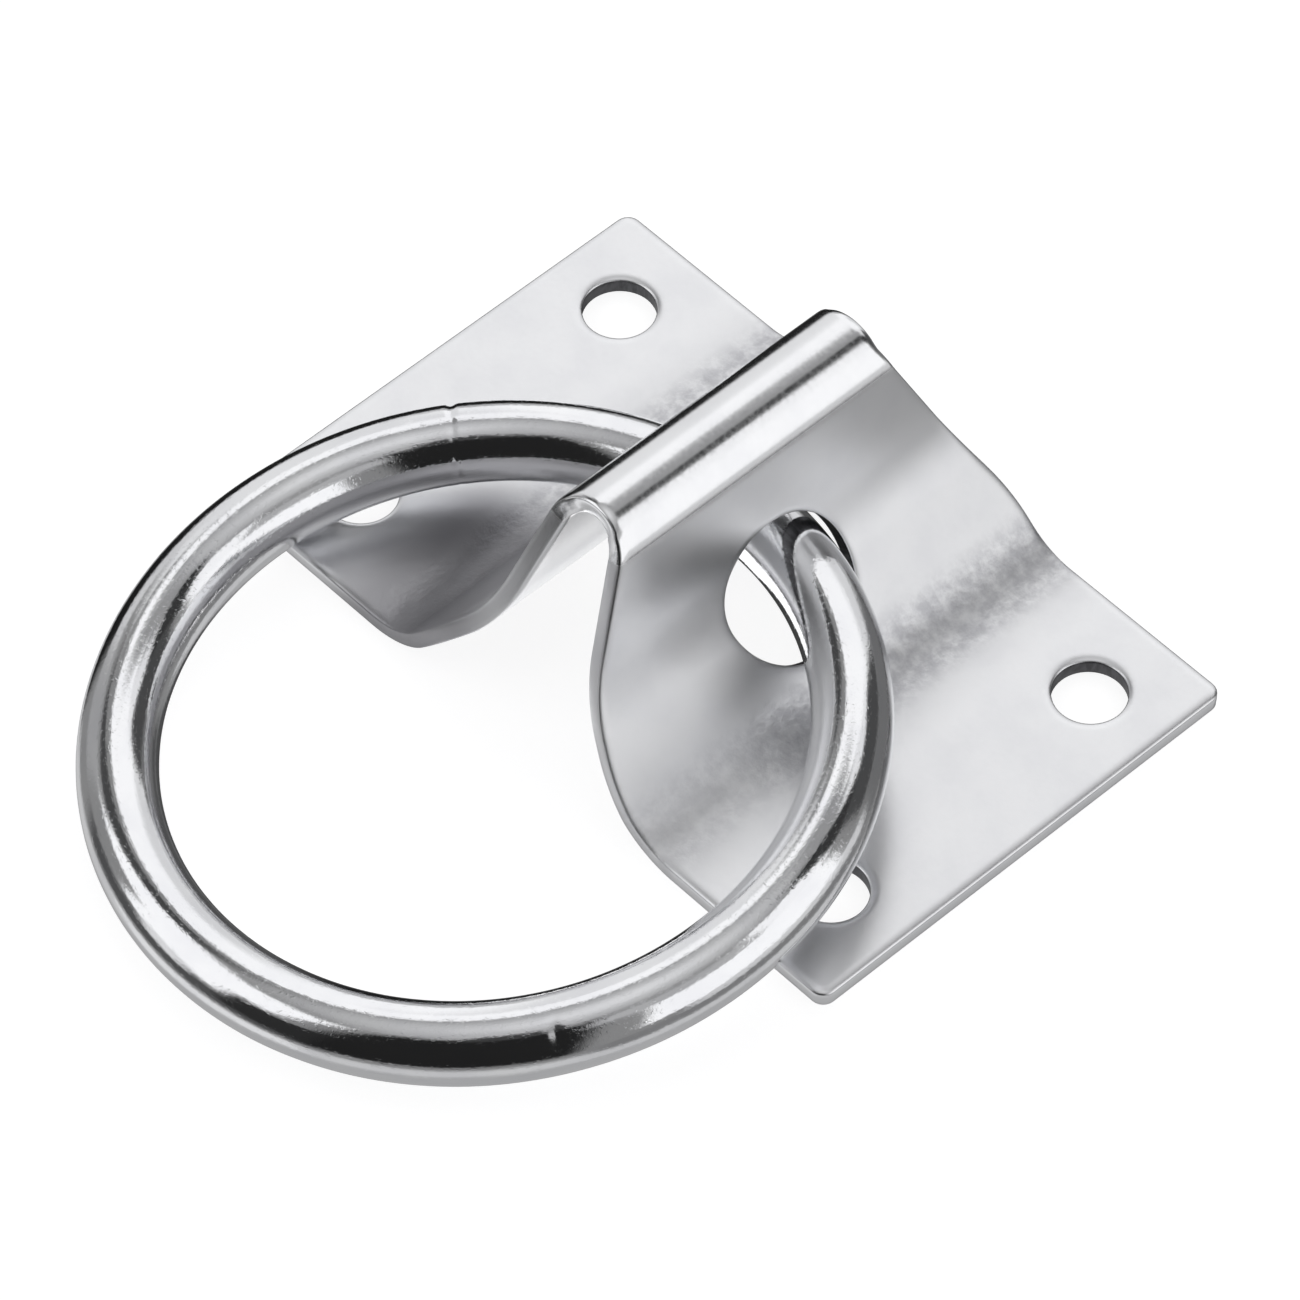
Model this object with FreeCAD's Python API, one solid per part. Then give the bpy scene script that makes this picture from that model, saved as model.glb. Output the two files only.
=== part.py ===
import FreeCAD, Part
import math
import os

# Tie ring on a pressed plate, in millimetres.
# +Z points away from the surface the plate is screwed to, +X runs across the
# ridge, +Y along it.  The origin is the middle of the plate's mounting face.
# Moving part: the ring swings about an X line through the two flank holes.
# It is drawn at rest, lying over on the -Y side.

# ---- driving dimensions -------------------------------------------------
PLATE_WIDTH = 69.5            # across the ridge, X
PLATE_LENGTH = 44.2           # along the ridge, Y
SHEET = 1.6                   # sheet thickness
CORNER_RADIUS = 1.2           # flange corners

RIDGE_HEIGHT = 24.0           # mounting face to the top of the crest
CREST_RADIUS = 4.3            # outside radius of the rounded crest
UPPER_FLANK_ANGLE = 12.5      # upper flank, degrees from upright
UPPER_FLANK_LENGTH = 7.4      # straight run of the upper flank
FLANK_BEND_RADIUS = 11.0      # outside radius where the flank starts to flare
LOWER_FLANK_ANGLE = 43.0      # lower flank, degrees from upright
FOOT_BEND_RADIUS = 6.6        # outside radius where the flank meets the flange

SCREW_SPACING_X = 55.0
SCREW_SPACING_Y = 28.6
SCREW_HOLE_RADIUS = 3.1

RING_HOLE_RADIUS = 6.3        # one punched through each flank
RING_HOLE_HEIGHT = 9.2        # its centre on the outside of the flank

TAPER_START_HEIGHT = 4.8      # below this the ends are square to the flanges
TAPER_END_HEIGHT = 22.4       # above this the ends round over towards the crest
TAPER_END_HALF = 14.1         # half length of the ridge at that height
CREST_HALF_LENGTH = 13.4      # half length of the ridge at the crest

RING_INSIDE_DIAMETER = 51.6
RING_WIRE_RADIUS = 3.3
RING_AXIS_Y = 1.5             # swing axis, on the wire's centre line in the holes
RING_AXIS_Z = 9.1
RING_REST_GAP = 0.15          # between the resting ring and the mounting plane

RING_MEAN_RADIUS = RING_INSIDE_DIAMETER / 2 + RING_WIRE_RADIUS


def point(x, y, z):
    return FreeCAD.Vector(x, y, z)


def upright_angle_direction(angle):
    """Direction down the right-hand flank, angle in degrees from upright."""
    a = math.radians(angle)
    return point(math.sin(a), 0, -math.cos(a))


def outward_normal(angle):
    """Outward normal of the right-hand flank at that angle."""
    a = math.radians(angle)
    return point(math.cos(a), 0, math.sin(a))


def flank_layout():
    """Centres and break points of the outside line of the right-hand flank."""
    crest_centre = point(0, 0, RIDGE_HEIGHT - CREST_RADIUS)
    upper_start = crest_centre + outward_normal(UPPER_FLANK_ANGLE) * CREST_RADIUS
    upper_end = upper_start + upright_angle_direction(UPPER_FLANK_ANGLE) * UPPER_FLANK_LENGTH
    bend_centre = upper_end + outward_normal(UPPER_FLANK_ANGLE) * FLANK_BEND_RADIUS
    lower_start = bend_centre - outward_normal(LOWER_FLANK_ANGLE) * FLANK_BEND_RADIUS
    foot_drop = FOOT_BEND_RADIUS * (1 - math.sin(math.radians(LOWER_FLANK_ANGLE)))
    lower_drop = lower_start.z - SHEET - foot_drop
    lower_length = lower_drop / math.cos(math.radians(LOWER_FLANK_ANGLE))
    lower_end = lower_start + upright_angle_direction(LOWER_FLANK_ANGLE) * lower_length
    foot_centre = lower_end + outward_normal(LOWER_FLANK_ANGLE) * FOOT_BEND_RADIUS
    return crest_centre, bend_centre, foot_centre


def offset_line(depth):
    """Edges of the sheet's line, from the left end to the right end.

    depth 0 is the outside of the sheet and depth SHEET the mounting side.
    """
    crest_centre, bend_centre, foot_centre = flank_layout()
    crest_r = CREST_RADIUS - depth
    bend_r = FLANK_BEND_RADIUS + depth
    foot_r = FOOT_BEND_RADIUS + depth
    mid_bend = (UPPER_FLANK_ANGLE + LOWER_FLANK_ANGLE) / 2
    mid_foot = (LOWER_FLANK_ANGLE + 90.0) / 2

    right = {
        "crest": crest_centre + point(0, 0, crest_r),
        "upper_start": crest_centre + outward_normal(UPPER_FLANK_ANGLE) * crest_r,
        "upper_end": bend_centre - outward_normal(UPPER_FLANK_ANGLE) * bend_r,
        "bend_mid": bend_centre - outward_normal(mid_bend) * bend_r,
        "lower_start": bend_centre - outward_normal(LOWER_FLANK_ANGLE) * bend_r,
        "lower_end": foot_centre - outward_normal(LOWER_FLANK_ANGLE) * foot_r,
        "foot_mid": foot_centre - outward_normal(mid_foot) * foot_r,
        "foot_end": foot_centre - point(0, 0, foot_r),
        "tip": point(PLATE_WIDTH / 2, 0, foot_centre.z - foot_r),
    }
    left = {name: point(-p.x, p.y, p.z) for name, p in right.items()}

    edges = [
        Part.LineSegment(left["tip"], left["foot_end"]),
        Part.Arc(left["foot_end"], left["foot_mid"], left["lower_end"]),
        Part.LineSegment(left["lower_end"], left["lower_start"]),
        Part.Arc(left["lower_start"], left["bend_mid"], left["upper_end"]),
        Part.LineSegment(left["upper_end"], left["upper_start"]),
        Part.Arc(left["upper_start"], right["crest"], right["upper_start"]),
        Part.LineSegment(right["upper_start"], right["upper_end"]),
        Part.Arc(right["upper_end"], right["bend_mid"], right["lower_start"]),
        Part.LineSegment(right["lower_start"], right["lower_end"]),
        Part.Arc(right["lower_end"], right["foot_mid"], right["foot_end"]),
        Part.LineSegment(right["foot_end"], right["tip"]),
    ]
    return [edge.toShape() for edge in edges], left["tip"], right["tip"]


def formed_sheet():
    """The bent sheet at full length, ends still square."""
    outside, outside_left, outside_right = offset_line(0.0)
    inside, inside_left, inside_right = offset_line(SHEET)
    ends = [
        Part.LineSegment(outside_right, inside_right).toShape(),
        Part.LineSegment(outside_left, inside_left).toShape(),
    ]
    edges = Part.__sortEdges__(outside + inside + ends)
    section = Part.Face(Part.Wire(edges))
    section.translate(point(0, -PLATE_LENGTH / 2, 0))
    return section.extrude(point(0, PLATE_LENGTH, 0))


def end_outline():
    """Side view of the plate: square at the flanges, narrowing to the crest."""
    half = PLATE_LENGTH / 2
    top = RIDGE_HEIGHT + 1.0
    middle_height = (TAPER_END_HEIGHT + RIDGE_HEIGHT) / 2
    middle_half = CREST_HALF_LENGTH + (TAPER_END_HALF - CREST_HALF_LENGTH) * 0.35
    edges = [Part.LineSegment(point(0, -half, 0), point(0, half, 0)).toShape()]
    for side in (-1, 1):
        corner = point(0, side * half, 0)
        start = point(0, side * half, TAPER_START_HEIGHT)
        end = point(0, side * TAPER_END_HALF, TAPER_END_HEIGHT)
        middle = point(0, side * middle_half, middle_height)
        crest = point(0, side * CREST_HALF_LENGTH, RIDGE_HEIGHT)
        above = point(0, side * CREST_HALF_LENGTH, top)
        edges.append(Part.LineSegment(corner, start).toShape())
        edges.append(Part.LineSegment(start, end).toShape())
        edges.append(Part.Arc(end, middle, crest).toShape())
        edges.append(Part.LineSegment(crest, above).toShape())
    edges.append(Part.LineSegment(point(0, -CREST_HALF_LENGTH, top),
                                  point(0, CREST_HALF_LENGTH, top)).toShape())
    return Part.Wire(Part.__sortEdges__(edges))


def end_envelope():
    """Block that trims the ends of the ridge to their taper."""
    face = Part.Face(end_outline())
    face.translate(point(-PLATE_WIDTH, 0, 0))
    return face.extrude(point(2 * PLATE_WIDTH, 0, 0))


def corner_envelope():
    """Upright block with the flange's rounded corners."""
    height = RIDGE_HEIGHT + 2.0
    block = Part.makeBox(PLATE_WIDTH, PLATE_LENGTH, height,
                         point(-PLATE_WIDTH / 2, -PLATE_LENGTH / 2, -1.0))
    upright = [e for e in block.Edges
               if abs(e.Vertexes[0].Z - e.Vertexes[1].Z) > height / 2]
    return block.makeFillet(CORNER_RADIUS, upright)


def screw_hole(x_side, y_side):
    x = x_side * SCREW_SPACING_X / 2
    y = y_side * SCREW_SPACING_Y / 2
    return Part.makeCylinder(SCREW_HOLE_RADIUS, SHEET + 2.0, point(x, y, -1.0))


def ring_hole_centre():
    """Centre of the right-hand ring hole on the outside, and its outward normal."""
    crest_centre, bend_centre, foot_centre = flank_layout()
    rise = (bend_centre.z - RING_HOLE_HEIGHT) / FLANK_BEND_RADIUS
    direction = outward_normal(math.degrees(math.asin(rise)))
    return bend_centre - direction * FLANK_BEND_RADIUS, direction


def ring_hole(x_side):
    """Cutter square to the flank, centred on its bend."""
    centre, direction = ring_hole_centre()
    reach_in = 5.0
    reach_out = 8.0
    start = centre - direction * reach_in
    if x_side < 0:
        start.x = -start.x
        direction.x = -direction.x
    return Part.makeCylinder(RING_HOLE_RADIUS, reach_in + reach_out, start, direction)


def make_mounting_plate():
    plate = formed_sheet()
    plate = plate.common(end_envelope())
    plate = plate.common(corner_envelope())
    for x_side in (-1, 1):
        plate = plate.cut(ring_hole(x_side))
        for y_side in (-1, 1):
            plate = plate.cut(screw_hole(x_side, y_side))
    return plate.removeSplitter()


def ring_rest_placement():
    """Centre of the resting ring and how far its plane leans below level.

    The swing axis crosses the wire's centre line where the wire passes the
    flanks; the far side of the ring lies just off the mounting plane.
    """
    hole_centre, direction = ring_hole_centre()
    reach = math.sqrt(RING_MEAN_RADIUS ** 2 - hole_centre.x ** 2)
    far_height = RING_WIRE_RADIUS + RING_REST_GAP
    lean = math.asin((RING_AXIS_Z - far_height) / (RING_MEAN_RADIUS + reach))
    centre = point(0, RING_AXIS_Y - reach * math.cos(lean), RING_AXIS_Z - reach * math.sin(lean))
    return centre, lean


def make_ring():
    centre, lean = ring_rest_placement()
    normal = point(0, -math.sin(lean), math.cos(lean))
    return Part.makeTorus(RING_MEAN_RADIUS, RING_WIRE_RADIUS, centre, normal)


def export(node, shape):
    if shape.ShapeType == "Compound" and len(shape.Solids) == 1:
        shape = shape.Solids[0]
    shape.exportStep("parts/" + node + ".step")


os.makedirs("parts", exist_ok=True)
export("mounting_plate", make_mounting_plate())
export("ring", make_ring())
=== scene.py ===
"""Looks of a tie ring on a pressed plate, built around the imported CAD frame.

Lengths are millimetres until a finished mesh is scaled into metres.  The camera's
place is given in metres.
+X runs across the ridge, +Y along it, +Z away from the mounting face.
"""

import math

import bmesh
import bpy
from mathutils import Matrix, Vector, noise
from mathutils.geometry import delaunay_2d_cdt


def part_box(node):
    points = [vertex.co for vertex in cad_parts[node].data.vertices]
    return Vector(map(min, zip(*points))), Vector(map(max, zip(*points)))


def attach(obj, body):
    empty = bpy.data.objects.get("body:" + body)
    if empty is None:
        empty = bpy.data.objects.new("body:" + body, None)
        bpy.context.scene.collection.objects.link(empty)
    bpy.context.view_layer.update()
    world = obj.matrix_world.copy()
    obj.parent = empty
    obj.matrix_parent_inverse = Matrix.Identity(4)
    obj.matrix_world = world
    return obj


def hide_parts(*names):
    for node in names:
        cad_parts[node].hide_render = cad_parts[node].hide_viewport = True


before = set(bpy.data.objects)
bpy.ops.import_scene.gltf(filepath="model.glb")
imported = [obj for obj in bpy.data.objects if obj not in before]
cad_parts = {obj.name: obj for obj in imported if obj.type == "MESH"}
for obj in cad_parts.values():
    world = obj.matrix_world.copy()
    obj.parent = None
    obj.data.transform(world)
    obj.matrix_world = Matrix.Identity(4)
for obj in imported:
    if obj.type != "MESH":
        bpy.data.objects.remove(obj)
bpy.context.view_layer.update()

MM = 0.001
UV_NAME = "metal"                # both pieces carry their metal's own coordinates, in mm

# ---- plate: the CAD part's driving sizes, but for the ridge's ends, which run
# ---- in a softer curve and reach further at the back of the crest
_, plate_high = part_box("mounting_plate")
HALF_WIDTH = plate_high.x / MM
HALF_LENGTH = plate_high.y / MM
RIDGE_HEIGHT = plate_high.z / MM
SHEET = 1.6
HALF_SHEET = SHEET / 2
CORNER_RADIUS = 1.2
CREST_RADIUS = 4.3
UPPER_SLOPE = math.radians(77.5)
UPPER_LENGTH = 7.4
FLANK_BEND_RADIUS = 11.0
LOWER_SLOPE = math.radians(47.0)
FOOT_BEND_RADIUS = 6.6
TAPER_START_HEIGHT = 4.8
TAPER_END_HEIGHT = 22.4
TAPER_SOFTNESS = 2.4             # the taper starts in a curve this far either way
TAPER_END_HALF = 14.1
CREST_FRONT = 13.4               # half length at the crest, front and back
CREST_BACK = 14.3
SCREW_X = 27.5
SCREW_Y = 14.3
SCREW_RADIUS = 3.1
RING_HOLE_HEIGHT = 9.2
RING_HOLE_RADIUS = 6.3

# ---- ring ----------------------------------------------------------------
WIRE_RADIUS = 3.3
RING_RADIUS = 29.1
RING_LEAN = math.radians(5.45)
RING_SLIP = (0.36, 0.25, -0.03)  # the loose ring lies a little to the right and back
RING_SKEW = math.radians(-2.3)   # and a little askew
WELD_AT = math.radians(142.0)
WELD_SWELL = 0.012
WELD_GROOVE = 0.03               # depth all round the wire
WELD_NOTCH = 0.16                # deeper still towards the outside
WELD_NOTCH_SIDE = math.radians(38.0)
DENT_AT = math.radians(328.5)
DENT_DEPTH = 0.07
DENT_SIDE = math.radians(55.0)
WIRE_WAVER = 0.012               # unevenness along the drawn wire

# ---- mesh fineness -------------------------------------------------------
GRID_STEP = 0.62
CREST_STEP = 0.3
EDGE_STEP = 0.4
CORNER_POINTS = 6
SCREW_HOLE_POINTS = 56
RING_HOLE_POINTS = 88
WIRE_SIDES = 72
RING_STEP = math.radians(1.4)
RING_FINE_STEP = math.radians(0.22)
RING_FINE_REACH = math.radians(3.5)   # either side of the weld and the dent
RING_LAST_GAP = 0.004            # radians kept free before the first station again
EDGE_MARGIN = 0.95               # band along every cut edge that carries its rollover
ROLLOVER_WIDTH = 0.78
ROLLOVER_DEPTH = 0.24
ROLLOVER_STEPS = 6
WALL_RAIL = ROLLOVER_STEPS       # edge_section() step from which a hole's edge is bare wall
# (inset, depth) down the sheared wall, which breaks away towards the far face
BREAK_WALL = ((0.0, 0.25), (0.0, -0.1), (0.03, -0.3), (0.04, -0.68))
FAR_RIM_INSET = 0.12


# =========================== the sheet's line =============================
def line_pieces():
    """(start, length, x, z, slope, slope rate) from the crest down the right side.

    This is the sheet's middle line.  Slope is the angle below level, and a
    piece with a slope rate is an arc.
    """
    layout = [
        ((CREST_RADIUS - HALF_SHEET) * UPPER_SLOPE, UPPER_SLOPE),
        (UPPER_LENGTH, UPPER_SLOPE),
        ((FLANK_BEND_RADIUS + HALF_SHEET) * (UPPER_SLOPE - LOWER_SLOPE), LOWER_SLOPE),
        (None, LOWER_SLOPE),
        ((FOOT_BEND_RADIUS + HALF_SHEET) * LOWER_SLOPE, 0.0),
        (None, 0.0),
    ]
    foot_drop = (FOOT_BEND_RADIUS + HALF_SHEET) * (1 - math.cos(LOWER_SLOPE))
    pieces = []
    start, x, z, slope = 0.0, 0.0, RIDGE_HEIGHT - HALF_SHEET, 0.0
    for length, end_slope in layout:
        if length is None and end_slope > 0:
            length = (z - HALF_SHEET - foot_drop) / math.sin(LOWER_SLOPE)
        elif length is None:
            length = HALF_WIDTH - x
        rate = (end_slope - slope) / length
        pieces.append((start, length, x, z, slope, rate))
        x, z, slope = along_piece(pieces[-1], length)
        start += length
    return pieces


def along_piece(piece, distance):
    """x, z and slope at a distance along one piece of the line."""
    _, _, x, z, slope, rate = piece
    end = slope + rate * distance
    if abs(rate) < 1e-9:
        return x + distance * math.cos(slope), z - distance * math.sin(slope), slope
    return (x + (math.sin(end) - math.sin(slope)) / rate,
            z + (math.cos(end) - math.cos(slope)) / rate, end)


LINE = line_pieces()
HALF_LINE = LINE[-1][0] + LINE[-1][1]
RING_SHADE_AT = -26.0                 # middle of the painted shade under the ring on the left flange
FOOT_START = LINE[4][0]
FOOT_END = LINE[5][0]
CREST_END = LINE[1][0]


def line_at(s):
    """x, z and slope of the middle line at distance s from the crest's top."""
    side = -1.0 if s < 0 else 1.0
    reach = min(abs(s), HALF_LINE)
    piece = next(p for p in reversed(LINE) if p[0] <= reach)
    x, z, slope = along_piece(piece, reach - piece[0])
    return side * x, z, side * slope


def half_length_at(s, end):
    """Half length of the plate at s: full at the flanges, less towards the crest.

    end is -1 for the front and 1 for the back.
    """
    z = line_at(s)[1]
    if abs(z - TAPER_START_HEIGHT) < TAPER_SOFTNESS:
        rise = z - TAPER_START_HEIGHT + TAPER_SOFTNESS
        narrowing = (HALF_LENGTH - TAPER_END_HALF) / (TAPER_END_HEIGHT - TAPER_START_HEIGHT)
        return HALF_LENGTH - narrowing * rise ** 2 / (4 * TAPER_SOFTNESS)
    if z <= TAPER_START_HEIGHT:
        return HALF_LENGTH
    if z <= TAPER_END_HEIGHT:
        share = (z - TAPER_START_HEIGHT) / (TAPER_END_HEIGHT - TAPER_START_HEIGHT)
        return HALF_LENGTH + (TAPER_END_HALF - HALF_LENGTH) * share
    share = (z - TAPER_END_HEIGHT) / (RIDGE_HEIGHT - TAPER_END_HEIGHT)
    crest = CREST_BACK if end > 0 else CREST_FRONT
    return TAPER_END_HALF + (crest - TAPER_END_HALF) * share ** 0.6


def bump_window(value, centre, half, soft):
    """1 inside centre +- half, falling smoothly to 0 over soft."""
    t = min(max((half + soft - abs(value - centre)) / soft, 0.0), 1.0)
    return t * t * (3 - 2 * t)


def forming_marks(s, y):
    """Height of the sheet's small unevenness: slight waves, stronger at the foot."""
    foot = bump_window(abs(s), (FOOT_START + FOOT_END) / 2, 2.0, 3.5)
    broad = noise.noise(Vector((s * 0.055, y * 0.07, 3.1))) * 0.016
    waves = noise.noise(Vector((s * 0.30, y * 0.16, 7.7))) * 0.035
    ripples = noise.noise(Vector((s * 0.75, y * 0.42, 1.3))) * 0.010
    return broad + foot * (waves + ripples)


def sheet_point(s, y, depth):
    """Point of the formed sheet; depth is the distance out from its middle."""
    x, z, slope = line_at(s)
    out = depth + forming_marks(s, y) * bump_window(y, 0.0, HALF_LENGTH - 1.5, 1.5)
    flat_guard = bump_window(abs(s), HALF_LINE, 0.0, 1.5)
    out = out * (1 - flat_guard) + depth * flat_guard
    return Vector((x + out * math.sin(slope), y, z + out * math.cos(slope)))


def sheet_normal(s, y, depth):
    """Outward normal by differences, so that it follows the unevenness too."""
    step = 0.02
    across = sheet_point(s + step, y, depth) - sheet_point(s - step, y, depth)
    along = sheet_point(s, y + step, depth) - sheet_point(s, y - step, depth)
    return across.cross(along).normalized() * (1 if depth > 0 else -1)


# ======================= outline and holes, laid flat =====================
def plate_outline():
    """The blank's edge laid flat, counter-clockwise, as points (s, y)."""
    inner = HALF_LINE - CORNER_RADIUS
    count = int(2 * inner / EDGE_STEP)
    far_side = [(inner - 2 * inner * i / count) for i in range(count + 1)]
    points = [(s, half_length_at(s, 1)) for s in far_side]
    points += corner_arc(-inner, HALF_LENGTH - CORNER_RADIUS, 90)
    points += side_points(-HALF_LINE, -1)
    points += corner_arc(-inner, -HALF_LENGTH + CORNER_RADIUS, 180)
    points += [(-s, -half_length_at(s, -1)) for s in far_side]
    points += corner_arc(inner, -HALF_LENGTH + CORNER_RADIUS, 270)
    points += side_points(HALF_LINE, 1)
    points += corner_arc(inner, HALF_LENGTH - CORNER_RADIUS, 0)
    return points


def corner_arc(s, y, start):
    """The inner points of a rounded corner."""
    angles = [math.radians(start + 90.0 * i / CORNER_POINTS) for i in range(1, CORNER_POINTS)]
    return [(s + CORNER_RADIUS * math.cos(a), y + CORNER_RADIUS * math.sin(a)) for a in angles]


def side_points(s, direction):
    """The straight edge of a flange."""
    reach = HALF_LENGTH - CORNER_RADIUS
    count = int(2 * reach / EDGE_STEP)
    return [(s, direction * (2 * reach * i / count - reach)) for i in range(count + 1)]


def screw_hole(s_side, y_side):
    """Points round a screw hole, clockwise, so that metal is always on the left."""
    s0 = HALF_LINE - (HALF_WIDTH - SCREW_X)
    angles = [-2 * math.pi * i / SCREW_HOLE_POINTS for i in range(SCREW_HOLE_POINTS)]
    return [(s_side * s0 + SCREW_RADIUS * math.cos(a),
             y_side * SCREW_Y + SCREW_RADIUS * math.sin(a)) for a in angles]


def ring_hole_centre():
    """Distance along the line at which the ring hole's centre lies."""
    low, high = CREST_END, FOOT_START
    for _ in range(40):
        middle = (low + high) / 2
        x, z, slope = line_at(middle)
        if z + HALF_SHEET * math.cos(slope) > RING_HOLE_HEIGHT:
            low = middle
        else:
            high = middle
    return low


def ring_hole(s_side):
    """Points round a ring hole: a circle as seen square to the flank."""
    centre = ring_hole_centre()
    x0, z0, slope0 = line_at(centre)
    points = []
    for i in range(RING_HOLE_POINTS):
        angle = -2 * math.pi * i / RING_HOLE_POINTS
        wanted = RING_HOLE_RADIUS * math.cos(angle)
        s = centre + wanted
        for _ in range(12):
            x, z, slope = line_at(s)
            reached = (x - x0) * math.cos(slope0) - (z - z0) * math.sin(slope0)
            s += (wanted - reached) / max(math.cos(slope - slope0), 0.5)
        points.append((s, RING_HOLE_RADIUS * math.sin(angle)))
    if s_side < 0:
        points = [(-s, y) for s, y in reversed(points)]
    return points


def inset(loop, distance):
    """The loop moved into the metal, which lies on its left."""
    moved = []
    for i, (s, y) in enumerate(loop):
        before = loop[i - 1]
        after = loop[(i + 1) % len(loop)]
        along = Vector((after[0] - before[0], after[1] - before[1])).normalized()
        moved.append((s - along.y * distance, y + along.x * distance))
    return moved


# ============================ building the plate ==========================
def edge_section():
    """(inset, depth) from the outside face, over the sheared edge, to the inside face.

    The punch side is rolled over, the wall breaks slightly inwards, and the
    far rim keeps a small sharp break.
    """
    section = [(EDGE_MARGIN, HALF_SHEET)]
    for i in range(ROLLOVER_STEPS + 1):
        a = math.pi / 2 * i / ROLLOVER_STEPS
        section.append((ROLLOVER_WIDTH * (1 - math.sin(a)),
                        HALF_SHEET - ROLLOVER_DEPTH * (1 - math.cos(a))))
    section += BREAK_WALL
    return section + [(FAR_RIM_INSET, -HALF_SHEET), (EDGE_MARGIN, -HALF_SHEET)]


def inside_outline(s, y, margin):
    if abs(s) > HALF_LINE - margin or abs(y) > half_length_at(s, y) - margin:
        return False
    corner_s = abs(s) - (HALF_LINE - CORNER_RADIUS)
    corner_y = abs(y) - (HALF_LENGTH - CORNER_RADIUS)
    if corner_s > 0 and corner_y > 0:
        return math.hypot(corner_s, corner_y) < CORNER_RADIUS - margin
    return True


def nearest(point, loop):
    return min(math.hypot(point[0] - s, point[1] - y) for s, y in loop)


def inside_loop(point, loop):
    """Even-odd test of a point against a closed loop."""
    inside = False
    s, y = point
    for i, (s1, y1) in enumerate(loop):
        s0, y0 = loop[i - 1]
        if (y0 > y) != (y1 > y) and s < (s1 - s0) * (y - y0) / (y1 - y0) + s0:
            inside = not inside
    return inside


def grid_points(holes):
    """Points filling the metal between the bands along its edges."""
    columns = []
    s = 0.0
    while s < HALF_LINE:
        columns.append(s)
        s += CREST_STEP if s < CREST_END else GRID_STEP
    columns = [-s for s in reversed(columns[1:])] + columns
    rows = int(HALF_LENGTH / GRID_STEP)
    points = []
    for s in columns:
        for j in range(-rows, rows + 1):
            y = j * GRID_STEP
            if not inside_outline(s, y, EDGE_MARGIN + 0.3):
                continue
            close = [h for h in holes if abs(s - h["s"]) < h["reach"] and abs(y - h["y"]) < h["reach"]]
            if any(inside_loop((s, y), h["loop"]) or nearest((s, y), h["loop"]) < 0.3
                   for h in close):
                continue
            points.append((s, y))
    return points


def make_sheet_mesh():
    loops = [plate_outline()]
    loops += [screw_hole(a, b) for a in (-1, 1) for b in (-1, 1)]
    loops += [ring_hole(a) for a in (-1, 1)]
    inner_loops = [inset(loop, EDGE_MARGIN) for loop in loops]
    holes = []
    for loop in inner_loops[1:]:
        centre_s = sum(p[0] for p in loop) / len(loop)
        centre_y = sum(p[1] for p in loop) / len(loop)
        reach = max(math.hypot(p[0] - centre_s, p[1] - centre_y) for p in loop) + 0.5
        holes.append({"loop": loop, "s": centre_s, "y": centre_y, "reach": reach})

    flat = [p for loop in inner_loops for p in loop]
    edges = []
    start = 0
    for loop in inner_loops:
        edges += [(start + i, start + (i + 1) % len(loop)) for i in range(len(loop))]
        start += len(loop)
    flat += grid_points(holes)
    points, _, faces, sources, _, _ = delaunay_2d_cdt([Vector(p) for p in flat], edges, [], 1, 1e-6)
    number = {source: new for new, found in enumerate(sources) for source in found}

    mesh = bmesh.new()
    uv_of, normal_of = {}, {}
    sides = []
    for depth in (HALF_SHEET, -HALF_SHEET):
        side = []
        for p in points:
            vert = mesh.verts.new(sheet_point(p.x, p.y, depth))
            uv_of[vert] = (p.x, p.y)
            normal_of[vert] = sheet_normal(p.x, p.y, depth)
            side.append(vert)
        sides.append(side)
    for face in faces:
        middle = sum((points[i] for i in face), Vector((0, 0))) / len(face)
        if any(inside_loop(middle, h["loop"]) for h in holes):
            continue
        if not inside_outline(middle.x, middle.y, EDGE_MARGIN - 0.05):
            continue
        mesh.faces.new([sides[0][i] for i in face])
        mesh.faces.new([sides[1][i] for i in reversed(face)])

    start = 0
    section = edge_section()
    for loop in loops:
        rails = [[sides[0][number[start + i]] for i in range(len(loop))]]
        for distance, depth in section[1:-1]:
            rail = []
            for s, y in inset(loop, distance):
                vert = mesh.verts.new(sheet_point(s, y, depth))
                uv_of[vert] = (s, y + HALF_SHEET - depth)
                rail.append(vert)
            rails.append(rail)
        rails.append([sides[1][number[start + i]] for i in range(len(loop))])
        for k, (upper, lower) in enumerate(zip(rails, rails[1:])):
            for i in range(len(loop)):
                after = (i + 1) % len(loop)
                face = mesh.faces.new((upper[i], lower[i], lower[after], upper[after]))
                # only the holes' walls take the dark painted-shade wall material; the outer edge keeps
                # the sheet's
                on_wall = WALL_RAIL <= k < len(rails) - 2
                face.material_index = 1 if on_wall and loop is not loops[0] else 0
        start += len(loop)
    return mesh, uv_of, normal_of


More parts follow.
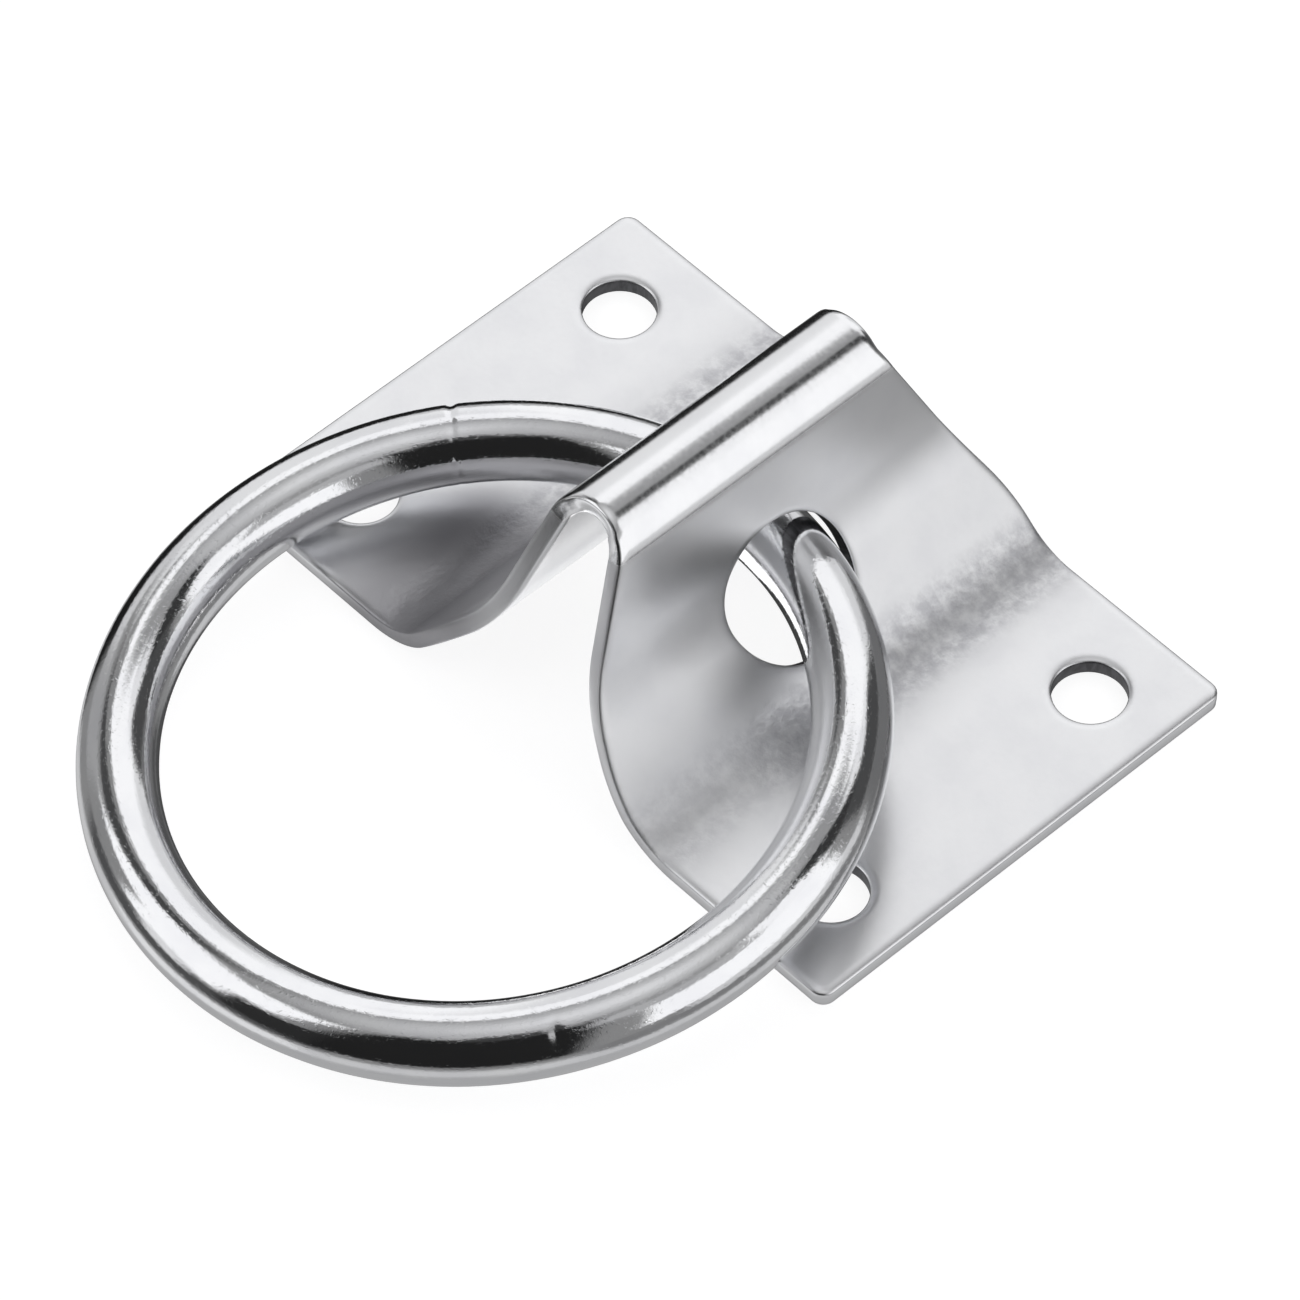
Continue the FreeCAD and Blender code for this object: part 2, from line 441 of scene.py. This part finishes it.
def place(mesh, name, uv_of, normal_of):
    """Turns a bmesh in mm into an object in metres with its UVs and normals."""
    loose = [v for v in mesh.verts if not v.link_faces]
    bmesh.ops.delete(mesh, geom=loose, context="VERTS")
    flat_faces = [f for f in mesh.faces if len(f.verts) == 3]
    bmesh.ops.join_triangles(mesh, faces=flat_faces, angle_face_threshold=0.2,
                             angle_shape_threshold=0.6, cmp_seam=False, cmp_sharp=False,
                             cmp_uvs=False, cmp_vcols=False, cmp_materials=False)
    layer = mesh.loops.layers.uv.new(UV_NAME)
    for face in mesh.faces:
        face.smooth = True
        for corner in face.loops:
            corner[layer].uv = uv_of[corner.vert]
    mesh.normal_update()
    mesh.verts.index_update()
    normals = [tuple(normal_of.get(v, v.normal)) for v in mesh.verts]
    bmesh.ops.scale(mesh, vec=(MM, MM, MM), verts=mesh.verts)
    data = bpy.data.meshes.new(name)
    mesh.to_mesh(data)
    mesh.free()
    data.normals_split_custom_set_from_vertices(normals)
    piece = bpy.data.objects.new(name, data)
    bpy.context.scene.collection.objects.link(piece)
    return piece


def make_plate():
    mesh, uv_of, normal_of = make_sheet_mesh()
    plate = place(mesh, "pressed_plate", uv_of, normal_of)
    plate.data.materials.append(zinc_sheet_material())
    plate.data.materials.append(shaded_hole_wall_material())
    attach(plate, "plate")
    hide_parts("mounting_plate")


# ================================ the ring ================================
def turn_from(angle, centre):
    """Angle from centre, between -pi and pi."""
    return (angle - centre + math.pi) % (2 * math.pi) - math.pi


def wire_radius_at(angle, around):
    """The wire with its butt weld, one small dent and a slight unevenness."""
    radius = WIRE_RADIUS
    off = turn_from(angle, WELD_AT) * RING_RADIUS
    outer = turn_from(around, WELD_NOTCH_SIDE)
    groove = WELD_GROOVE + WELD_NOTCH * math.exp(-(outer / 0.45) ** 2)
    radius += WELD_SWELL * math.exp(-(off / 1.1) ** 2)
    radius -= groove * math.exp(-(off / 0.3) ** 2)
    dent = turn_from(angle, DENT_AT) * RING_RADIUS
    across = turn_from(around, DENT_SIDE) * WIRE_RADIUS
    radius -= DENT_DEPTH * math.exp(-(dent / 0.45) ** 2 - (across / 0.9) ** 2)
    flow = Vector((math.cos(angle) * 5.0, math.sin(angle) * 5.0, around * 0.8))
    return radius - WIRE_WAVER + WIRE_WAVER * noise.noise(flow)


def ring_angles():
    """Stations round the ring, closer together at the weld and the dent."""
    angles = []
    angle = 0.0
    while angle < 2 * math.pi - RING_LAST_GAP:
        angles.append(angle)
        close = min(abs(turn_from(angle, WELD_AT)), abs(turn_from(angle, DENT_AT)))
        angle += RING_FINE_STEP if close < RING_FINE_REACH else RING_STEP
    return angles


def make_ring():
    low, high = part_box("ring")
    centre = (low + high) / 2 / MM + Vector(RING_SLIP)
    tilt = Matrix.Translation(centre) @ Matrix.Rotation(RING_LEAN, 4, "X")
    tilt = tilt @ Matrix.Rotation(RING_SKEW, 4, "Y")
    mesh = bmesh.new()
    angles = ring_angles()
    rails = []
    for angle in angles:
        outwards = Vector((math.cos(angle), math.sin(angle), 0))
        rail = []
        for i in range(WIRE_SIDES):
            around = 2 * math.pi * i / WIRE_SIDES
            radius = wire_radius_at(angle, around)
            local = outwards * (RING_RADIUS + radius * math.cos(around))
            local.z = radius * math.sin(around)
            rail.append(mesh.verts.new(tilt @ local))
        rails.append(rail)
    layer = mesh.loops.layers.uv.new(UV_NAME)
    for k, rail in enumerate(rails):
        following = rails[(k + 1) % len(rails)]
        for i in range(WIRE_SIDES):
            j = (i + 1) % WIRE_SIDES
            face = mesh.faces.new((rail[i], following[i], following[j], rail[j]))
            face.smooth = True
            ends = [angles[k], angles[k + 1] if k + 1 < len(angles) else 2 * math.pi]
            spans = [i * 2 * math.pi / WIRE_SIDES, (i + 1) * 2 * math.pi / WIRE_SIDES]
            corners = [(0, 0), (1, 0), (1, 1), (0, 1)]
            for corner, (a, b) in zip(face.loops, corners):
                corner[layer].uv = (ends[a] * RING_RADIUS, spans[b] * WIRE_RADIUS)
    bmesh.ops.scale(mesh, vec=(MM, MM, MM), verts=mesh.verts)
    data = bpy.data.meshes.new("tie_ring")
    mesh.to_mesh(data)
    mesh.free()
    ring = bpy.data.objects.new("tie_ring", data)
    bpy.context.scene.collection.objects.link(ring)
    ring.data.materials.append(zinc_wire_material())
    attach(ring, "ring")
    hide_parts("ring")


# =============================== materials ================================
class Nodes:
    """Small helpers for laying out a node tree."""

    def __init__(self, tree):
        self.tree = tree

    def add(self, kind, **settings):
        node = self.tree.nodes.new(kind)
        for key, value in settings.items():
            setattr(node, key, value)
        return node

    def feed(self, socket, value):
        if isinstance(value, bpy.types.NodeSocket):
            self.tree.links.new(value, socket)
        else:
            socket.default_value = value

    def math(self, operation, first, second=0.0, third=0.0):
        node = self.add("ShaderNodeMath", operation=operation)
        for socket, value in zip(node.inputs, (first, second, third)):
            self.feed(socket, value)
        return node.outputs[0]

    def ramp(self, value, low, high, start=0.0, end=1.0):
        """Smooth step of value from low..high to start..end."""
        node = self.add("ShaderNodeMapRange", interpolation_type="SMOOTHSTEP")
        for socket, number in zip(node.inputs, (value, low, high, start, end)):
            self.feed(socket, number)
        return node.outputs[0]

    def mix(self, share, first, second):
        node = self.add("ShaderNodeMix", data_type="RGBA")
        self.feed(node.inputs[0], share)
        self.feed(node.inputs[6], first)
        self.feed(node.inputs[7], second)
        return node.outputs[2]

    def speckle(self, place, scale, detail=3.0, stretch=(1.0, 1.0, 1.0), rough=0.5):
        """Noise in millimetres; scale is cells per mm."""
        shape = self.add("ShaderNodeMapping")
        self.feed(shape.inputs["Vector"], place)
        self.feed(shape.inputs["Scale"], stretch)
        node = self.add("ShaderNodeTexNoise")
        self.feed(node.inputs["Vector"], shape.outputs[0])
        self.feed(node.inputs["Scale"], scale)
        self.feed(node.inputs["Detail"], detail)
        self.feed(node.inputs["Roughness"], rough)
        return node.outputs[0]

    def bump(self, height, distance, strength, normal=None):
        node = self.add("ShaderNodeBump")
        self.feed(node.inputs["Height"], height)
        self.feed(node.inputs["Distance"], distance)
        self.feed(node.inputs["Strength"], strength)
        if normal is not None:
            self.feed(node.inputs["Normal"], normal)
        return node.outputs[0]


def new_metal(name):
    material = bpy.data.materials.new(name)
    material.use_nodes = True
    nodes = Nodes(material.node_tree)
    shader = material.node_tree.nodes["Principled BSDF"]
    shader.inputs["Metallic"].default_value = 1.0
    place = nodes.add("ShaderNodeUVMap", uv_map=UV_NAME).outputs[0]
    return material, nodes, shader, place


def zinc_sheet_material():
    """Polished on the crest, satin below it, and darker and bumpier in mottled patches at the foot of
    the ridge.

    A painted shade, standing in for the shade under the ring, darkens the front of the left flange and
    of its bend.
    """
    material, nodes, shader, place = new_metal("bright_zinc_on_sheet")
    parts = nodes.add("ShaderNodeSeparateXYZ")
    nodes.feed(parts.inputs[0], place)
    across = nodes.math("ABSOLUTE", parts.outputs[0])

    foot_middle = (FOOT_START + FOOT_END) / 2
    off_foot = nodes.math("ABSOLUTE", nodes.math("SUBTRACT", across, foot_middle))
    foot = nodes.ramp(off_foot, 2.0, 4.8, 1.0, 0.0)

    cloud = nodes.speckle(place, 0.22, 4.0)
    grain = nodes.speckle(place, 2.6, 4.0, rough=0.6)
    mottle = nodes.speckle(place, 0.65, 3.5, rough=0.6)
    rolled = nodes.speckle(place, 1.0, 3.0, stretch=(3.5, 0.12, 1.0))

    bright, soft = (0.95, 0.955, 0.965, 1), (0.91, 0.915, 0.93, 1)
    dark_foot_tone, ring_shade_tone = (0.47, 0.47, 0.50, 1), (0.33, 0.325, 0.345, 1)
    tone = nodes.mix(nodes.ramp(cloud, 0.35, 0.7), bright, soft)
    # darker mottled patches along the foot bend, fading towards the front
    foot_darkening = nodes.math("MULTIPLY", foot, nodes.ramp(mottle, 0.28, 0.68))
    foot_darkening = nodes.math("MULTIPLY", foot_darkening, nodes.ramp(parts.outputs[1], -14.0, -2.0, 0.4, 1.0))
    tone = nodes.mix(nodes.math("MULTIPLY", foot_darkening, 0.60), tone, dark_foot_tone)
    # painted shade: a dark patch on the front of the left flange and its bend, where the ring shades
    # it
    aside = nodes.math("ABSOLUTE", nodes.math("SUBTRACT", parts.outputs[0], RING_SHADE_AT))
    ring_shade = nodes.math("MULTIPLY", nodes.ramp(aside, 6.0, 12.0, 1.0, 0.0),
                       nodes.ramp(parts.outputs[1], -9.0, -2.0, 1.0, 0.0))
    tone = nodes.mix(nodes.math("MULTIPLY", ring_shade, 0.75), tone, ring_shade_tone)
    nodes.feed(shader.inputs["Base Color"], tone)

    polished = nodes.ramp(grain, 0.3, 0.75, 0.12, 0.20)
    satin = nodes.ramp(grain, 0.3, 0.75, 0.29, 0.33)
    lower = nodes.math("MULTIPLY", nodes.ramp(across, CREST_END + 4.0, CREST_END + 10.0),
                       nodes.ramp(across, FOOT_END - 2.0, FOOT_END + 5.0, 1.0, 0.0))
    satin = nodes.math("MULTIPLY_ADD", lower, 0.13, satin)
    below_crest = nodes.ramp(across, CREST_END - 0.45, CREST_END - 0.35)
    rough = nodes.math("MULTIPLY_ADD", below_crest,
                       nodes.math("SUBTRACT", satin, polished), polished)
    nodes.feed(shader.inputs["Roughness"], rough)

    specks = nodes.ramp(nodes.speckle(place, 2.2, 2.0), 0.60, 0.72)
    normal = nodes.bump(rolled, 0.004 * MM, 0.5)
    normal = nodes.bump(grain, 0.008 * MM, 0.5, normal)
    normal = nodes.bump(specks, 0.0012 * MM, 0.5, normal)
    foot_height = nodes.math("MULTIPLY", mottle, foot)
    normal = nodes.bump(foot_height, 0.10 * MM, 0.8, normal)
    nodes.feed(shader.inputs["Normal"], normal)
    return material


def zinc_wire_material():
    """Bright plating over drawn wire."""
    material, nodes, shader, place = new_metal("bright_zinc_on_wire")
    cloud = nodes.speckle(place, 0.18, 3.0, stretch=(1.0, 1.6, 1.0))
    grain = nodes.speckle(place, 3.2, 4.0, rough=0.6)
    drawn = nodes.speckle(place, 1.0, 3.0, stretch=(0.10, 2.2, 1.0))
    bright, soft = (0.94, 0.945, 0.955, 1), (0.88, 0.885, 0.905, 1)
    tone = nodes.mix(nodes.ramp(cloud, 0.35, 0.7), bright, soft)
    nodes.feed(shader.inputs["Base Color"], tone)
    nodes.feed(shader.inputs["Roughness"], nodes.ramp(grain, 0.3, 0.75, 0.05, 0.12))
    specks = nodes.speckle(place, 2.6, 3.0, stretch=(0.7, 1.2, 1.0), rough=0.6)
    specks = nodes.ramp(specks, 0.52, 0.72)
    normal = nodes.bump(drawn, 0.012 * MM, 0.6)
    normal = nodes.bump(grain, 0.006 * MM, 0.6, normal)
    normal = nodes.bump(specks, 0.005 * MM, 0.8, normal)
    nodes.feed(shader.inputs["Normal"], normal)
    return material


def shaded_hole_wall_material():
    """The walls of the punched holes: rough plating over shear marks, made dark with painted shade as
    if shadowed inside the holes.
    """
    material, nodes, shader, place = new_metal("zinc_hole_wall_painted_shade")
    marks = nodes.speckle(place, 1.6, 3.0, stretch=(1.6, 0.4, 1.0))
    # painted shade: these dark tones stand in for the shadow inside the holes
    dark, grey = (0.12, 0.12, 0.125, 1), (0.20, 0.20, 0.21, 1)
    tone = nodes.mix(nodes.ramp(marks, 0.35, 0.65), dark, grey)
    nodes.feed(shader.inputs["Base Color"], tone)
    nodes.feed(shader.inputs["Roughness"], nodes.ramp(marks, 0.3, 0.7, 0.38, 0.50))
    nodes.feed(shader.inputs["Normal"], nodes.bump(marks, 0.02 * MM, 0.6))
    return material


# ================================ studio ==================================
# Softboxes and dark flags round the object: (azimuth, elevation, half width,
# half height, softness, brightness).  Angles are degrees; azimuth is counted
# from +X towards +Y.  Later ones cover earlier ones.
STUDIO = (
    (30, -75, 180, 31, 8, 0.40),       # pale table below
    (250, -38, 95, 11, 6, 0.56),       # lit table, front and left
    (240, -37, 28, 8, 4, 0.74),        # its brightest part
    (28, -43, 48, 9, 3, 0.54),         # table, right
    (20, -22, 40, 9, 4, 0.20),         # far edge of the table, right
    (120, -47, 32, 14, 5, 0.07),       # shadow on the table behind the plate
    (30, 90, 180, 27, 8, 0.46),        # grey ceiling
    (30, 90, 180, 12, 10, 0.72),       # its lighter middle
    (186, 15, 11, 16, 4, 0.34),        # left wall
    (184, 48, 10, 12, 3, 0.06),        # gap beside the left softbox
    (120, -17, 38, 15, 5, 0.08),       # dark room behind the table
    (155, -16, 25, 18, 4, 0.012),      # its darkest part
    (240, -10, 37, 11, 4, 0.08),       # under the front left softbox
    (302, 22, 33, 38, 4, 0.015),       # dark side, where the picture is taken from
    (304, 61, 14, 5, 3, 0.05),         # its top
    (262, 6, 12, 18, 3, 0.025),        # the same, lower left part
    (342, 50, 9, 7, 4, 0.45),          # lamp beyond it
    (126, 6, 37, 6, 3, 0.42),          # foot of the softbox behind left
    (128, 35, 33, 25, 2.5, 0.98),      # softbox, behind left
    (158, 22, 11, 19, 4, 0.76),        # its dimmer left side
    (112, 21, 18, 12, 6, 0.68),        # its dimmer lower part
    (88, 48, 11, 8, 3, 0.80),          # its upper right corner
    (172, 12, 7, 10, 3, 0.60),         # light wall beside it
    (30, -6, 29, 9, 3, 0.60),          # foot of the right softbox
    (5, 47, 22, 9, 4, 0.42),           # its dimmer upper part
    (38, 48, 13, 11.5, 2, 0.96),       # its bright corner
    (18, 19, 29, 21, 2.5, 1.00),       # softbox, right
    (228, 42, 31, 14, 2.5, 1.00),      # softbox, front left
    (234, 20, 15, 13, 2.5, 1.00),      # its lower part
    (234, 5, 7, 8, 3, 0.72),           # and its foot
    (98, 65, 28, 4, 2.5, 0.29),        # ceiling's edge over the gap
    (63.5, 49, 11, 11, 2, 0.035),      # gap between two softboxes, top
    (75, 27, 18, 15, 3, 0.065),        # the same gap, middle
    (80, -3, 20, 16, 5, 0.15),         # the same gap, foot
    (66, 62, 8, 3.5, 1.5, 0.025),      # its dark upper end
)
ROOM = 0.24


def make_world():
    """Softboxes for what the metal reflects, and a pale backdrop for the camera."""
    world = bpy.data.worlds.new("studio")
    bpy.context.scene.world = world
    world.use_nodes = True
    world.node_tree.nodes.clear()
    nodes = Nodes(world.node_tree)
    direction = nodes.add("ShaderNodeTexCoord").outputs["Generated"]
    parts = nodes.add("ShaderNodeSeparateXYZ")
    nodes.feed(parts.inputs[0], direction)
    x, y, z = parts.outputs
    azimuth = nodes.math("ARCTAN2", y, x)
    elevation = nodes.math("ARCSINE", nodes.math("MINIMUM", nodes.math("MAXIMUM", z, -1.0), 1.0))
    light = (ROOM, ROOM, ROOM, 1)
    for centre, height, half_width, half_height, soft, brightness in STUDIO:
        aside = nodes.math("SUBTRACT", azimuth, math.radians(centre))
        aside = nodes.math("ABSOLUTE", nodes.math("WRAP", aside, math.pi, -math.pi))
        above = nodes.math("ABSOLUTE", nodes.math("SUBTRACT", elevation, math.radians(height)))
        level = nodes.ramp(above, math.radians(half_height - soft),
                           math.radians(half_height + soft), 1.0, 0.0)
        if half_width < 180:
            side = nodes.ramp(aside, math.radians(half_width - soft),
                              math.radians(half_width + soft), 1.0, 0.0)
            level = nodes.math("MULTIPLY", level, side)
        light = nodes.mix(level, light, (brightness, brightness, brightness * 1.01, 1))
    path = nodes.add("ShaderNodeLightPath")
    shown = nodes.mix(path.outputs["Is Camera Ray"], light, (1.0, 1.0, 1.0, 1))
    background = nodes.add("ShaderNodeBackground")
    nodes.feed(background.inputs["Color"], shown)
    output = nodes.add("ShaderNodeOutputWorld")
    world.node_tree.links.new(background.outputs[0], output.inputs[0])


def floor_material():
    """Pale and dull, with a glow of its own."""
    material = bpy.data.materials.new("pale_floor")
    material.use_nodes = True
    shader = material.node_tree.nodes["Principled BSDF"]
    shader.inputs["Base Color"].default_value = (0.40, 0.40, 0.405, 1)
    shader.inputs["Roughness"].default_value = 0.9
    shader.inputs["Specular IOR Level"].default_value = 0.0
    shader.inputs["Emission Color"].default_value = (1.0, 1.0, 1.0, 1)
    shader.inputs["Emission Strength"].default_value = 0.86
    return material


def shade_material():
    """Floor in the dark under the ridge."""
    material = bpy.data.materials.new("shaded_floor")
    material.use_nodes = True
    shader = material.node_tree.nodes["Principled BSDF"]
    shader.inputs["Base Color"].default_value = (0.05, 0.05, 0.05, 1)
    shader.inputs["Roughness"].default_value = 0.9
    shader.inputs["Specular IOR Level"].default_value = 0.0
    return material


def level_sheet(name, low, high, height):
    """A level rectangle of the stage between two corners."""
    mesh = bmesh.new()
    corners = [low, (high[0], low[1]), high, (low[0], high[1])]
    mesh.faces.new([mesh.verts.new((x * MM, y * MM, height * MM)) for x, y in corners])
    data = bpy.data.meshes.new(name)
    mesh.to_mesh(data)
    mesh.free()
    sheet = bpy.data.objects.new(name, data)
    bpy.context.scene.collection.objects.link(sheet)
    return sheet


def make_floor():
    """A pale floor that glows a little, so that shadows on it stay faint.

    The metal does not mirror it, except for two patches under the hollow
    ridge: pale in the front arch, dark further in.
    """
    material = floor_material()
    floor = level_sheet("floor", (-3000, -3000), (3000, 3000), -0.05)
    floor.visible_glossy = False
    floor.data.materials.append(material)
    pale = level_sheet("floor_under_arch", (-11, -24), (-0.5, -1), -0.06)
    pale.data.materials.append(material)
    shade = level_sheet("shade_under_ridge", (-13, -9), (13, 22), -0.07)
    shade.data.materials.append(shade_material())
    for sheet in (pale, shade):
        sheet.visible_camera = False
        sheet.visible_diffuse = False
        sheet.visible_shadow = False


def make_camera():
    """A long lens from above and to the right of the ring's open side."""
    azimuth, elevation, roll = (math.radians(a) for a in (47.20, 51.84, -0.34))
    distance, aside, above = 0.700, -0.0058186, -0.003758
    back = Vector((math.sin(azimuth) * math.cos(elevation),
                   -math.cos(azimuth) * math.cos(elevation), math.sin(elevation)))
    level = Vector((math.cos(azimuth), math.sin(azimuth), 0))
    upright = back.cross(level)
    right = level * math.cos(roll) + upright * math.sin(roll)
    up = back.cross(right)
    data = bpy.data.cameras.new("camera")
    data.sensor_width = 36.0
    data.lens = 240.72
    data.clip_start = 0.01
    data.clip_end = 10.0
    camera = bpy.data.objects.new("camera", data)
    camera.matrix_world = Matrix((
        (right.x, up.x, back.x, 0),
        (right.y, up.y, back.y, 0),
        (right.z, up.z, back.z, 0),
        (0, 0, 0, 1)))
    camera.location = back * distance + right * aside + up * above
    bpy.context.scene.collection.objects.link(camera)
    bpy.context.scene.camera = camera


make_camera()
make_world()
make_floor()
make_plate()
make_ring()
bpy.context.scene.view_settings.view_transform = "Standard"
